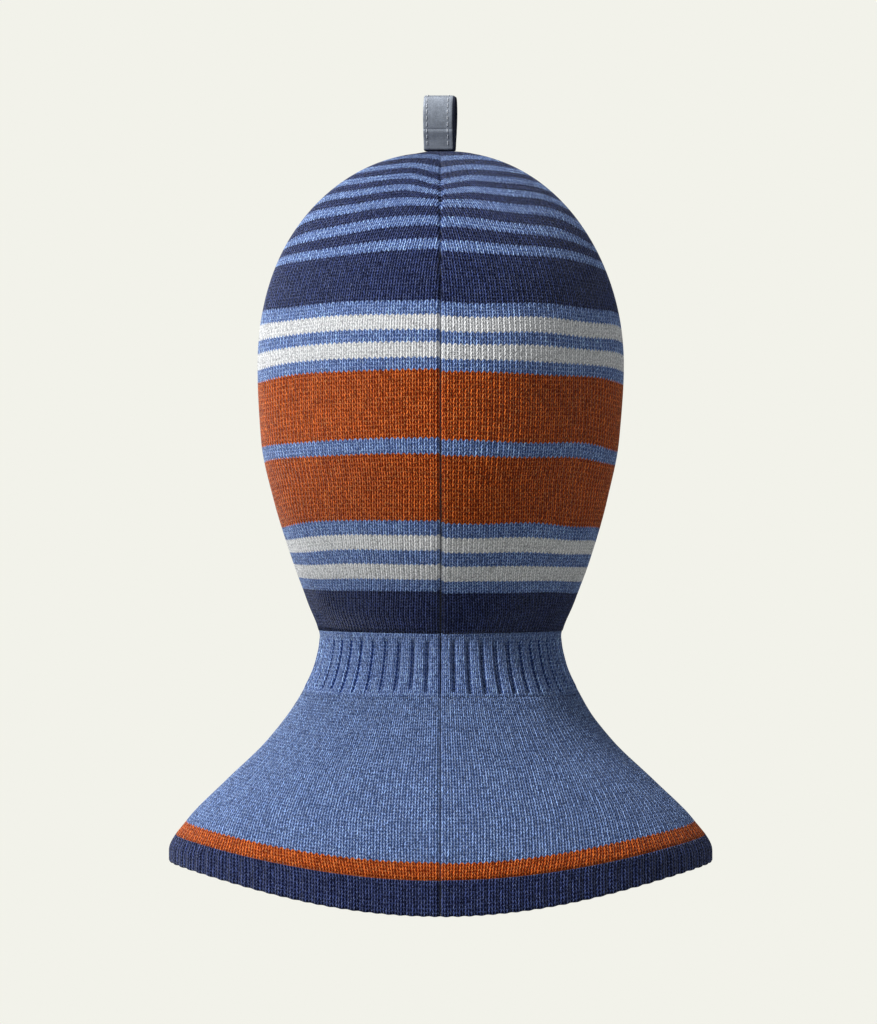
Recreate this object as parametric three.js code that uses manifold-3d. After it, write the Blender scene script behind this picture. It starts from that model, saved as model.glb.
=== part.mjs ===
// A child's knitted wool balaclava, worn upright: +Z is up, the face looks along -Y, and the wearer's
// left is +X. The origin is where the top of the head bears on the lining, inside the crown.
// The knit is one skin over an egg-shaped head and a round neck, and it flares out over the shoulders.
// Every cloth piece is a stretch of that skin, at its own depth below the outer surface.
import * as THREE from "three";
import { mergeVertices } from "three/addons/utils/BufferGeometryUtils.js";
import Module from "manifold-3d";

const wasm = await Module();
wasm.setup();

// ---------------------------------------------------------------- driving dimensions, in millimetres

const KNIT = 2.4; // thickness of the outer knit
const CLOTH_GAP = 0.5; // between two cloths that touch
const PATCH = 1.0; // thickness of the windproof patches and of the seam allowances
const LINING = 1.0; // thickness of the jersey lining
const SIDE_GAP = 0.15; // from the middle plane to each half's edge
const JOINT_GAP = 0.2; // from a boundary between two bodies to each of them

const PATCH_DEPTH = KNIT + CLOTH_GAP;
const LINING_DEPTH = PATCH_DEPTH + PATCH + CLOTH_GAP;
const TOP = LINING_DEPTH + LINING; // outer surface of the crown, above the origin

const CROWN_HEIGHT = 94.8; // from the top down to the widest level
const CROWN_POWER = 2.1; // of the superellipse that rounds the crown
const WIDEST = TOP - CROWN_HEIGHT;
const APEX_HOLE = 3; // half width of the hole where the panels meet under the loop

// The skin's levels below the crown: height, half width, depth to the back and depth to the front.
const LEVELS = [
  [WIDEST, 79.4, 95, 90],
  [-120, 77.9, 94, 91],
  [-146, 72.6, 87.5, 91],
  [-172, 64.6, 75, 85],
  [-190, 57.9, 62, 69],
  [-206, 52.4, 52.4, 53],
  [-216, 54.2, 53.5, 54],
  [-230, 60.5, 57.5, 58.5],
  [-250, 75, 66, 69],
  [-268, 93.3, 76, 80],
  [-285, 110, 84.5, 89],
  [-298, 118, 90, 94],
  [-320, 118, 94, 98],
];

const NECK_TOP = -202.5; // the hood's lower edge, at the outer surface
const NECK_BOTTOM = -229.5; // the collar's upper edge
const NOD_PIVOT = -245; // height of the axis that the head nods about
const NECK_TOP_RADIUS = 53.1; // the neck's outer radius at its upper edge
const HEM_SIDE = -302.5; // the hem's lowest point at the shoulders
const HEM_BACK = -318; // and at the middle of the back and the chest
const HEM_POWER = 3; // how fast it rises away from those two middles
const HEM_DEPTH_SIDE = 11.5; // depth of the ribbed hem at the shoulders
const HEM_DEPTH_BACK = 14.5;

const FACE_HEIGHT = -116; // middle of the face opening
const FACE_HALF_WIDTH = 44;
const FACE_HALF_HEIGHT = 52;
const BAND_WIDTH = 16; // of the ribbed band round the face
const BAND_PROUD = 0.5; // the band stands this far outside the knit
const BAND_BLANK = [-40, -192]; // levels of the curved blank that the band is cut from
const BAND_BLANK_TURN = 0.38 * Math.PI; // and its turn to each side of the middle
const OVAL_NEAR = 20; // the oval cutters start this far in front of the middle plane
const OVAL_FAR = 150; // and end outside the face

const EAR_LEVELS = [-98, -165]; // upper and lower edge of the windproof patches
const EAR_ANGLES = [1.02, 1.75]; // and their rear and front edge, from the middle of the back

const SEAM_HALF_WIDTH = 3;
const SEAM_FRONT_END = -20; // the crown's seam ends here in front, above the face band
const CHIN_GAP = 1; // between the face band and the seam below it

const LOOP_WIDTH = 13.5;
const LOOP_Y = -3; // the loop stands just in front of the crown's highest point
const LOOP_PIVOT_RISE = 2.4; // its fold line above the crown
const LOOP_TOP = 29.6; // its highest point
const LOOP_FLAT = 1.5; // half length of the flat stretch at the top
const LOOP_BULGE = 4.6; // half the distance between its legs where they are furthest apart
const LOOP_FOOT = 1.5; // radius of the fold at its foot
const BACKING = 0.9; // thickness of the backing tape
const REFLECTIVE = 0.4; // thickness of the reflective tape
const TAPE_GAP = 0.3;
const REFLECTIVE_WIDTH = 12.7;
const THREAD = 0.4;
const STITCH_X = 4.5; // from the tape's middle to each stitch row

const LABEL_WIDTH = 25;
const LABEL_LENGTH = 30;
const LABEL_THICKNESS = 0.5;
const LABEL_TOP = -100; // height of the care label's sewn edge
const LABEL_Y = 83.5; // just inside the lining
const WOVEN_LEVELS = [-62, -90]; // upper and lower edge of the woven label
const WOVEN_HALF_TURN = 0.2; // its turn to each side of the middle of the back

// ---------------------------------------------------------------- the skin

// A smooth value through rows of [height, value...] at one height, with no overshoot between them.
function through(rows, column, z) {
  let i = 0;
  while (i < rows.length - 2 && z < rows[i + 1][0]) i++;
  const slope = (k) => {
    if (k <= 0 || k >= rows.length - 1) return 0;
    const before = (rows[k][column] - rows[k - 1][column]) / (rows[k][0] - rows[k - 1][0]);
    const after = (rows[k + 1][column] - rows[k][column]) / (rows[k + 1][0] - rows[k][0]);
    return before * after <= 0 ? 0 : (2 * before * after) / (before + after);
  };
  const [z0, z1] = [rows[i][0], rows[i + 1][0]];
  const [v0, v1] = [rows[i][column], rows[i + 1][column]];
  const step = z1 - z0;
  const t = (z - z0) / step;
  const rise = t * t * (3 - 2 * t);
  return v0 + (v1 - v0) * rise + step * (slope(i) * t * (1 - t) ** 2 - slope(i + 1) * t * t * (1 - t));
}

// The skin's ring at a station. Stations 0 to 1 go from the top to the widest level, and from there on
// one station is 100 mm of height.
function ring(station) {
  if (station < 1) {
    const turn = (station * Math.PI) / 2;
    const spread = Math.sin(turn) ** (2 / CROWN_POWER);
    const height = CROWN_HEIGHT * Math.cos(turn) ** (2 / CROWN_POWER);
    const [, side, back, front] = LEVELS[0];
    return { z: WIDEST + height, side: side * spread, back: back * spread, front: front * spread };
  }
  const z = WIDEST - (station - 1) * 100;
  return { z, side: through(LEVELS, 1, z), back: through(LEVELS, 2, z), front: through(LEVELS, 3, z) };
}

function stationAt(z) {
  if (z < WIDEST) return 1 + (WIDEST - z) / 100;
  return (Math.acos(((z - WIDEST) / CROWN_HEIGHT) ** (CROWN_POWER / 2)) * 2) / Math.PI;
}

// A point of the skin: angle 0 is the middle of the back, and pi the middle of the front.
function skin(angle, station) {
  const { z, side, back, front } = ring(station);
  const y = Math.cos(angle) * (Math.cos(angle) > 0 ? back : front);
  return new THREE.Vector3(side * Math.sin(angle), y, z);
}

// The point below the skin by a depth, along the skin's inward normal.
function under(angle, station, depth) {
  const step = 1e-4;
  const around = skin(angle + step, station).sub(skin(angle - step, station));
  const down = skin(angle, station + step).sub(skin(angle, Math.max(1e-5, station - step)));
  const inward = down.cross(around).normalize();
  return skin(angle, station).addScaledVector(inward, depth);
}

// Stations that surely hold each of the neck's two boundaries between them.
const AROUND_NECK_TOP = [1.4, 2.4];
const AROUND_NECK_BOTTOM = [2, 2.6];

// The station where the cloth at that depth crosses a boundary: beyond(point) is true past it.
function crossing(angle, depth, around, beyond) {
  let [near, far] = around;
  for (let i = 0; i < 40; i++) {
    const middle = (near + far) / 2;
    if (beyond(under(angle, middle, depth))) far = middle;
    else near = middle;
  }
  return (near + far) / 2;
}

// The boundary between hood and neck is part of a sphere round the nod axis, so it stays open at any nod.
const nodCentre = new THREE.Vector3(0, 0, NOD_PIVOT);
const NOD_RADIUS = Math.hypot(NECK_TOP_RADIUS, NECK_TOP - NOD_PIVOT);
const insideNod = (gap) => (point) => point.distanceTo(nodCentre) < NOD_RADIUS + gap;
const belowLevel = (z) => (point) => point.z < z;

const hoodEnd = (angle, depth) => crossing(angle, depth, AROUND_NECK_TOP, insideNod(JOINT_GAP));
const neckStart = (angle, depth) => crossing(angle, depth, AROUND_NECK_TOP, insideNod(-JOINT_GAP));
const neckEnd = (angle, depth) => {
  return crossing(angle, depth, AROUND_NECK_BOTTOM, belowLevel(NECK_BOTTOM + JOINT_GAP));
};
const collarStart = (angle, depth) => {
  return crossing(angle, depth, AROUND_NECK_BOTTOM, belowLevel(NECK_BOTTOM - JOINT_GAP));
};

// The hem hangs lower at the back and the front than on the shoulders.
const hemAt = (side, back) => (angle) =>
  stationAt(side + (back - side) * Math.abs(Math.cos(angle)) ** HEM_POWER);
const aboveHem = (gap) => hemAt(HEM_SIDE + HEM_DEPTH_SIDE + gap, HEM_BACK + HEM_DEPTH_BACK + gap);
const hemEnd = hemAt(HEM_SIDE, HEM_BACK);
const hemStart = aboveHem(0);
const collarEnd = aboveHem(2 * JOINT_GAP);

// ---------------------------------------------------------------- solids

// Turns a closed geometry's faces outwards.
function facingOut(geometry) {
  const { position } = geometry.attributes;
  const corners = geometry.index.array;
  const [a, b, c] = [new THREE.Vector3(), new THREE.Vector3(), new THREE.Vector3()];
  let volume = 0;
  for (let i = 0; i < corners.length; i += 3) {
    a.fromBufferAttribute(position, corners[i]);
    b.fromBufferAttribute(position, corners[i + 1]);
    c.fromBufferAttribute(position, corners[i + 2]);
    volume += a.dot(b.cross(c));
  }
  if (volume < 0) {
    for (let i = 0; i < corners.length; i += 3) {
      [corners[i], corners[i + 1]] = [corners[i + 1], corners[i]];
    }
  }
  return geometry;
}

// A closed solid from a subdivided box, whose three coordinates, each 0 to 1, are mapped into place.
function bentBox(acrossSteps, downSteps, throughSteps, place) {
  const box = new THREE.BoxGeometry(1, 1, 1, acrossSteps, downSteps, throughSteps);
  box.deleteAttribute("normal");
  box.deleteAttribute("uv");
  const geometry = mergeVertices(box, 1e-4);
  const { position } = geometry.attributes;
  for (let i = 0; i < position.count; i++) {
    const point = place(position.getX(i) + 0.5, position.getY(i) + 0.5, position.getZ(i) + 0.5);
    position.setXYZ(i, point.x, point.y, point.z);
  }
  return facingOut(geometry);
}

// A cloth on one side of the middle: from one angle to another, and between two ends, which are
// functions of angle and depth that give stations. side is 1 on the wearer's left, -1 on the right.
function cloth(side, angles, ends, depths, steps) {
  return bentBox(steps[0], steps[1], 1, (u, v, w) => {
    const angle = THREE.MathUtils.lerp(angles[0], angles[1], u);
    const depth = THREE.MathUtils.lerp(depths[0], depths[1], w);
    const station = THREE.MathUtils.lerp(ends[0](angle, depth), ends[1](angle, depth), v);
    const point = under(angle, station, depth);
    point.x = side * (Math.max(point.x, 0) + SIDE_GAP);
    return point;
  });
}

// A strip of seam allowance behind the knit, along the middle of the back (angle 0) or front (pi).
function seamStrip(middleAngle, ends, steps) {
  return bentBox(2, steps, 1, (u, v, w) => {
    const depth = PATCH_DEPTH + w * PATCH;
    const station = THREE.MathUtils.lerp(ends[0](middleAngle, depth), ends[1](middleAngle, depth), v);
    const point = under(middleAngle, station, depth);
    point.x = (u - 0.5) * 2 * SEAM_HALF_WIDTH;
    return point;
  });
}

function asManifold(geometry) {
  const bare = geometry.clone();
  bare.deleteAttribute("normal");
  bare.deleteAttribute("uv");
  const merged = mergeVertices(bare, 1e-4);
  const mesh = new wasm.Mesh({
    numProp: 3,
    vertProperties: new Float32Array(merged.attributes.position.array),
    triVerts: new Uint32Array(merged.index.array),
  });
  return new wasm.Manifold(mesh);
}

function asGeometry(manifold) {
  const mesh = manifold.getMesh();
  const geometry = new THREE.BufferGeometry();
  geometry.setAttribute("position", new THREE.BufferAttribute(mesh.vertProperties, 3));
  geometry.setIndex(new THREE.BufferAttribute(mesh.triVerts, 1));
  return geometry;
}

// An upright oval prism that runs out through the face.
function faceOval(grow) {
  const prism = new THREE.CylinderGeometry(1, 1, OVAL_FAR - OVAL_NEAR, 48);
  prism.scale(FACE_HALF_WIDTH + grow, 1, FACE_HALF_HEIGHT + grow);
  prism.translate(0, -(OVAL_FAR + OVAL_NEAR) / 2, FACE_HEIGHT);
  return asManifold(prism);
}

// An extruded outline that lies in the Y-Z plane, with its width along X.
function alongX(outline, holes, width, middle) {
  const shape = new THREE.Shape(outline);
  for (const hole of holes) shape.holes.push(new THREE.Path(hole));
  const solid = new THREE.ExtrudeGeometry(shape, { depth: width, bevelEnabled: false, steps: 1 });
  // the outline's x becomes Y, its y becomes Z, and the extrusion becomes X
  const turned = new THREE.Matrix4().makeBasis(
    new THREE.Vector3(0, 1, 0), new THREE.Vector3(0, 0, 1), new THREE.Vector3(1, 0, 0),
  );
  return solid.applyMatrix4(turned).translate(middle - width / 2, 0, 0);
}

// ---------------------------------------------------------------- materials

const wool = (colour) => new THREE.MeshStandardMaterial({ color: colour, roughness: 0.95, metalness: 0 });
const LIGHT_BLUE = 0x5971a5;
const NAVY = 0x232d58;

const materials = {
  stripedKnit: () => wool(LIGHT_BLUE),
  blueKnit: () => wool(LIGHT_BLUE),
  navyRib: () => wool(NAVY),
  lining: () => wool(0x3a4670),
  windproof: () => new THREE.MeshStandardMaterial({ color: 0xd8dadd, roughness: 0.6, metalness: 0 }),
  seam: () => wool(0x1c2547),
  backing: () => wool(0x1a1f33),
  reflective: () => new THREE.MeshStandardMaterial({ color: 0x7d838e, roughness: 0.45, metalness: 0.3 }),
  thread: () => wool(0xb4b8c0),
  label: () => new THREE.MeshStandardMaterial({ color: 0xf0f0ec, roughness: 0.5, metalness: 0 }),
};

// ---------------------------------------------------------------- the balaclava

const garment = new THREE.Group();

function add(name, geometry, material) {
  const mesh = new THREE.Mesh(geometry, materials[material]());
  mesh.name = name;
  garment.add(mesh);
  return mesh;
}

const always = (station) => () => station;
// The station whose ring is as wide as the apex hole.
const APEX = (2 / Math.PI) * Math.asin((APEX_HOLE / LEVELS[0][1]) ** (CROWN_POWER / 2));
const HALF_TURN = [0, Math.PI];
const KNIT_DEPTHS = [0, KNIT];
const LINING_DEPTHS = [LINING_DEPTH, LINING_DEPTH + LINING];

const hoodCut = faceOval(BAND_WIDTH + CLOTH_GAP);

for (const [side, word] of [[1, "left"], [-1, "right"]]) {
  const panel = cloth(side, HALF_TURN, [always(APEX), hoodEnd], KNIT_DEPTHS, [22, 26]);
  add(`hood_panel_${word}`, asGeometry(asManifold(panel).subtract(hoodCut)), "stripedKnit");

  const lining = cloth(side, HALF_TURN, [always(APEX), hoodEnd], LINING_DEPTHS, [18, 22]);
  add(`lining_${word}`, asGeometry(asManifold(lining).subtract(hoodCut)), "lining");

  const earEnds = EAR_LEVELS.map((level) => always(stationAt(level)));
  const patch = cloth(side, EAR_ANGLES, earEnds, [PATCH_DEPTH, PATCH_DEPTH + PATCH], [8, 8]);
  add(`ear_windproof_patch_${word}`, patch, "windproof");

  add(`neck_rib_${word}`, cloth(side, HALF_TURN, [neckStart, neckEnd], KNIT_DEPTHS, [20, 3]), "blueKnit");
  add(`collar_${word}`, cloth(side, HALF_TURN, [collarStart, collarEnd], KNIT_DEPTHS, [20, 9]), "blueKnit");
  add(`hem_rib_${word}`, cloth(side, HALF_TURN, [hemStart, hemEnd], KNIT_DEPTHS, [20, 2]), "navyRib");
}

// The ribbed band round the face fills the oval between the panels' edges and the face opening.
const bandEnds = BAND_BLANK.map(stationAt);
const frontOfHead = bentBox(24, 18, 1, (u, v, w) => {
  const turn = (2 * u - 1) * BAND_BLANK_TURN;
  const station = THREE.MathUtils.lerp(bandEnds[0], bandEnds[1], v);
  const depth = THREE.MathUtils.lerp(-BAND_PROUD, KNIT, w);
  const point = under(Math.PI - Math.abs(turn), station, depth);
  if (turn > 0) point.x = -point.x;
  return point;
});
const band = asManifold(frontOfHead).intersect(faceOval(BAND_WIDTH)).subtract(faceOval(0));
add("face_rib_band", asGeometry(band), "navyRib");

// Seam allowances lie open between knit and lining.
const overTheHead = bentBox(2, 36, 1, (u, v, w) => {
  const depth = PATCH_DEPTH + w * PATCH;
  const backEnd = hoodEnd(0, depth);
  const along = THREE.MathUtils.lerp(-backEnd, stationAt(SEAM_FRONT_END), v);
  const point = under(along < 0 ? 0 : Math.PI, Math.max(Math.abs(along), 1e-3), depth);
  point.x = (u - 0.5) * 2 * SEAM_HALF_WIDTH;
  return point;
});
add("crown_back_seam", overTheHead, "seam");
const chinTop = FACE_HEIGHT - FACE_HALF_HEIGHT - BAND_WIDTH - CHIN_GAP;
add("chin_seam", seamStrip(Math.PI, [always(stationAt(chinTop)), hoodEnd], 3), "seam");
for (const [angle, word] of [[0, "back"], [Math.PI, "front"]]) {
  add(`neck_${word}_seam`, seamStrip(angle, [neckStart, neckEnd], 4), "seam");
  add(`collar_${word}_seam`, seamStrip(angle, [collarStart, hemEnd], 14), "seam");
}

// ---------------------------------------------------------------- hanging loop

const LOOP_PIVOT = TOP + LOOP_PIVOT_RISE;

// The loop's middle line at a distance outside it: one leg from the foot up to the flat top, mirrored.
function loopLine(outside) {
  const rise = LOOP_TOP - BACKING / 2 - TAPE_GAP - REFLECTIVE - LOOP_PIVOT;
  const leg = new THREE.CatmullRomCurve3([
    new THREE.Vector3(LOOP_FOOT, 0, 0),
    new THREE.Vector3(LOOP_FOOT + 0.9, rise * 0.16, 0),
    new THREE.Vector3(LOOP_BULGE, rise * 0.52, 0),
    new THREE.Vector3(LOOP_BULGE * 0.9, rise * 0.8, 0),
    new THREE.Vector3(LOOP_FLAT + 1.5, rise * 0.96, 0),
    new THREE.Vector3(LOOP_FLAT, rise, 0),
  ], false, "centripetal");
  const rightLeg = leg.getPoints(16).map((p, i, all) => {
    const tangent = leg.getTangent(i / (all.length - 1));
    // the line leaves the foot straight up and arrives level at the flat top
    if (i === 0) tangent.set(0, 1, 0);
    if (i === all.length - 1) tangent.set(-1, 0, 0);
    return new THREE.Vector2(p.x + tangent.y * outside, p.y - tangent.x * outside);
  });
  const leftLeg = rightLeg.map((p) => new THREE.Vector2(-p.x, p.y)).reverse();
  const foot = [];
  const footSteps = 8;
  for (let i = 1; i < footSteps; i++) {
    const turn = Math.PI + (i * Math.PI) / footSteps;
    const radius = LOOP_FOOT + outside;
    foot.push(new THREE.Vector2(radius * Math.cos(turn), radius * Math.sin(turn)));
  }
  return { legs: [...rightLeg, ...leftLeg], foot };
}

const ringOutline = (outside) => {
  const { legs, foot } = loopLine(outside);
  return [...legs, ...foot];
};

// An arch follows the loop's legs and top between two distances, and starts a little above the foot.
function archOutline(inner, outer) {
  const aboveFoot = (outside) => loopLine(outside).legs.slice(2, -2);
  return [...aboveFoot(outer), ...aboveFoot(inner).reverse()];
}

const loop = new THREE.Group();
loop.position.set(0, LOOP_Y, LOOP_PIVOT);
garment.add(loop);

const REFLECTIVE_INNER = BACKING / 2 + TAPE_GAP;
const THREAD_INNER = REFLECTIVE_INNER + REFLECTIVE + TAPE_GAP;

const backing = alongX(ringOutline(BACKING / 2), [ringOutline(-BACKING / 2)], LOOP_WIDTH, 0);
loop.add(add("loop_backing_tape", backing, "backing"));
const reflective = archOutline(REFLECTIVE_INNER, REFLECTIVE_INNER + REFLECTIVE);
loop.add(add("loop_reflective_tape", alongX(reflective, [], REFLECTIVE_WIDTH, 0), "reflective"));
const threadArch = archOutline(THREAD_INNER, THREAD_INNER + THREAD);
loop.add(add("loop_stitch_row_left", alongX(threadArch, [], THREAD, STITCH_X), "thread"));
loop.add(add("loop_stitch_row_right", alongX(threadArch, [], THREAD, -STITCH_X), "thread"));

// ---------------------------------------------------------------- labels

// The care label hangs by its top edge; the woven label is sewn flat to the lining above it.
const satin = new THREE.BoxGeometry(LABEL_WIDTH, LABEL_THICKNESS, LABEL_LENGTH);
const careLabel = add("care_label", satin, "label");
careLabel.position.set(0, LABEL_Y, LABEL_TOP - LABEL_LENGTH / 2);

const wovenEnds = WOVEN_LEVELS.map(stationAt);
const wovenLabel = bentBox(6, 6, 1, (u, v, w) => {
  const station = THREE.MathUtils.lerp(wovenEnds[0], wovenEnds[1], v);
  const angle = (2 * u - 1) * WOVEN_HALF_TURN;
  const depth = TOP + 2 * CLOTH_GAP + w * LABEL_THICKNESS;
  const point = under(Math.abs(angle), station, depth);
  if (angle < 0) point.x = -point.x;
  return point;
});
add("woven_label", wovenLabel, "label");

export default garment;
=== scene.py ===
"""A child's striped wool balaclava, seen from behind on an invisible head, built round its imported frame."""
import math

import bpy
import numpy as np
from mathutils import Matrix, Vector


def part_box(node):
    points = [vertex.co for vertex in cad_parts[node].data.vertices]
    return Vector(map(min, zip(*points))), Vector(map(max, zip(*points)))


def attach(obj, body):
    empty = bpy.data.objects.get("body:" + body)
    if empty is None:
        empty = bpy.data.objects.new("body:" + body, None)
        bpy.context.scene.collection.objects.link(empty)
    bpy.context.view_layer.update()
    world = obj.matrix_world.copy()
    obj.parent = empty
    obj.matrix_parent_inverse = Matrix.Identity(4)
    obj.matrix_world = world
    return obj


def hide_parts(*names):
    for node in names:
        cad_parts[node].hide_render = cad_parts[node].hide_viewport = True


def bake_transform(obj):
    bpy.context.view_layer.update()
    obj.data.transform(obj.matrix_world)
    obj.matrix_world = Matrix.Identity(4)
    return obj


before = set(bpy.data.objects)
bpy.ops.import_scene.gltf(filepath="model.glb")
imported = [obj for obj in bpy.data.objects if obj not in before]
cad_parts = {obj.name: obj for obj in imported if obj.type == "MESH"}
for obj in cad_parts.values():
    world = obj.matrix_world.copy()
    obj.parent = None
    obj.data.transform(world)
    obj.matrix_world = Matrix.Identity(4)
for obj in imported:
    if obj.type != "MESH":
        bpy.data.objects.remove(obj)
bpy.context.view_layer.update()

# ------------------------------------------------------------------ the skin, in millimetres
# The same egg-shaped head, round neck and flared collar that the frame's cloth solids follow.

MM = 0.001
KNIT = 2.4  # thickness of the outer knit
SIDE_GAP = 0.01  # from the middle plane to each half's edge
PATCH_DEPTH = 2.9  # below the knit's outer surface: ear patches and seam allowances
PATCH = 1.0
LINING_DEPTH = 4.4
LINING = 1.0
LINING_INSET = 3  # from the face opening to the lining's edge, behind the band

TOP = round(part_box("hood_panel_left")[1].z / MM, 1)  # outer surface of the crown
CROWN_HEIGHT = 94.8
CROWN_POWER = 2.1
WIDEST = TOP - CROWN_HEIGHT
APEX_HOLE = 0.4  # radius left open where the rows run together

# Height, half width, depth to the back and depth to the front, below the crown.
LEVELS = np.array([
    [WIDEST, 79.4, 95, 90],
    [-120, 77.9, 94, 91],
    [-146, 72.6, 87.5, 91],
    [-172, 64.6, 75, 85],
    [-190, 57.9, 62, 69],
    [-206, 52.4, 52.4, 53],
    [-216, 54.2, 53.5, 54],
    [-230, 60.5, 57.5, 58.5],
    [-250, 75, 66, 69],
    [-268, 93.3, 76, 80],
    [-285, 110, 84.5, 89],
    [-298, 118, 90, 94],
    [-320, 118, 94, 98],
])

NECK_TOP = -202.5
NECK_BOTTOM = -229.5
HEM_SIDE, HEM_BACK = -302.5, -318
HEM_DEPTH_SIDE, HEM_DEPTH_BACK = 11.5, 14.5
HEM_POWER = 3  # how fast the hem rises away from the middle of the back and the chest
FACE_HEIGHT, FACE_HALF_WIDTH, FACE_HALF_HEIGHT = -116, 44, 52
BAND_WIDTH = 16


def through(column, z):
    """A smooth value through the levels at each height, with no overshoot between them."""
    heights, values = LEVELS[:, 0], LEVELS[:, column]
    slopes = np.diff(values) / np.diff(heights)
    before, after = slopes[:-1], slopes[1:]
    same_way = before * after > 0
    tangents = np.zeros(len(values))
    tangents[1:-1][same_way] = (2 * before * after / np.where(same_way, before + after, 1))[same_way]
    i = np.clip(np.searchsorted(-heights, -z) - 1, 0, len(values) - 2)
    step = heights[i + 1] - heights[i]
    t = (z - heights[i]) / step
    bend = tangents[i] * t * (1 - t) ** 2 - tangents[i + 1] * t * t * (1 - t)
    return values[i] + (values[i + 1] - values[i]) * t * t * (3 - 2 * t) + step * bend


def ring(station):
    """Height and the three half sizes at a station: 0 to 1 down the crown, then 1 for each 100 mm."""
    station = np.asarray(station, float)
    turn = np.minimum(station, 1) * math.pi / 2
    spread = np.sin(turn) ** (2 / CROWN_POWER)
    crown_z = WIDEST + CROWN_HEIGHT * np.clip(np.cos(turn), 0, 1) ** (2 / CROWN_POWER)
    lower_z = WIDEST - (np.maximum(station, 1) - 1) * 100
    z = np.where(station < 1, crown_z, lower_z)
    sizes = [np.where(station < 1, LEVELS[0, c] * spread, through(c, lower_z)) for c in (1, 2, 3)]
    return z, *sizes


def station_at(z):
    z = np.asarray(z, float)
    above = np.clip((z - WIDEST) / CROWN_HEIGHT, 0, 1)
    return np.where(z < WIDEST, 1 + (WIDEST - z) / 100, np.arccos(above ** (CROWN_POWER / 2)) * 2 / math.pi)


def skin(angle, station):
    """Points of the skin: angle 0 is the middle of the back, and pi the middle of the front."""
    z, side, back, front = ring(station)
    y = np.cos(angle) * np.where(np.cos(angle) > 0, back, front)
    return np.stack(np.broadcast_arrays(side * np.sin(angle), y, z), -1)


def under(angle, station, depth):
    """Points below the skin by a depth, along its inward normal."""
    small = 1e-4
    around = skin(angle + small, station) - skin(angle - small, station)
    down = skin(angle, station + small) - skin(angle, np.maximum(1e-5, station - small))
    inward = np.cross(down, around)
    inward /= np.linalg.norm(inward, axis=-1, keepdims=True)
    return skin(angle, station) + inward * np.asarray(depth)[..., None]


def smooth(t):
    t = np.clip(t, 0, 1)
    return t * t * (3 - 2 * t)


def wander(a, b, seed, waves=6):
    """A slow unevenness between about -1 and 1 over two coordinates."""
    draw = np.random.default_rng(seed)
    total = 0
    for _ in range(waves):
        along, across = draw.uniform(-1, 1, 2)
        total = total + np.sin(along * a + across * b + draw.uniform(0, 2 * math.pi))
    return total / math.sqrt(waves)


# ------------------------------------------------------------------ meshes


def make_mesh(name, vertices, faces, corner_uv, smooth_faces):
    """A closed mesh of quads, facing out, with each corner's wale and course. The first faces are smooth."""
    a, b, c, d = (vertices[faces[:, i]] for i in range(4))
    volume = np.einsum("ij,ij->", a, np.cross(b, c)) + np.einsum("ij,ij->", a, np.cross(c, d))
    if volume < 0:
        faces, corner_uv = faces[:, ::-1], corner_uv[:, ::-1]
    mesh = bpy.data.meshes.new(name)
    mesh.from_pydata((vertices * MM).tolist(), [], faces.tolist())
    layer = mesh.uv_layers.new(name="knit")
    layer.data.foreach_set("uv", np.ascontiguousarray(corner_uv, np.float32).ravel())
    mesh.polygons.foreach_set("use_smooth", np.arange(len(faces)) < smooth_faces)
    mesh.update()
    piece = bpy.data.objects.new(name, mesh)
    bpy.context.scene.collection.objects.link(piece)
    return piece


def shell(name, outer, inner, u=None, v=None, keep=None, wrap=False):
    """A closed cloth between two grids of points. u and v are the wale and course of each point."""
    rows, columns = outer.shape[:2]
    u = np.zeros((rows, columns)) if u is None else u
    v = np.zeros((rows, columns)) if v is None else v
    index = np.arange(rows * columns).reshape(rows, columns)
    right = np.roll(index, -1, 1) if wrap else index[:, 1:]
    left = index if wrap else index[:, :-1]
    quads = np.stack([left[:-1], right[:-1], right[1:], left[1:]], -1)
    uv = np.stack([u.ravel(), v.ravel()], -1)
    cell_uv = uv[quads]
    if wrap:
        period = u[0, -1] + (u[0, 1] - u[0, 0]) - u[0, 0]
        cell_uv[:, -1, 1:3, 0] += period
    keep = np.ones(quads.shape[:2], bool) if keep is None else keep
    quads, cell_uv = quads[keep], cell_uv[keep]
    count = rows * columns
    edges = np.stack([quads, np.roll(quads, -1, 1)], -1).reshape(-1, 2)
    key, back_key = edges[:, 0] * count + edges[:, 1], edges[:, 1] * count + edges[:, 0]
    rim = edges[~np.isin(key, back_key)]
    walls = np.stack([rim[:, 1], rim[:, 0], rim[:, 0] + count, rim[:, 1] + count], -1)
    faces = np.concatenate([quads, quads[:, ::-1] + count, walls])
    corners = np.concatenate([cell_uv, cell_uv[:, ::-1], uv[walls % count]])
    vertices = np.concatenate([outer.reshape(-1, 3), inner.reshape(-1, 3)])
    used, faces = np.unique(faces, return_inverse=True)
    return make_mesh(name, vertices[used], faces.reshape(-1, 4), corners, 2 * len(quads))


TUBE_CAP = 0.45  # of the radius, at both ends


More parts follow.
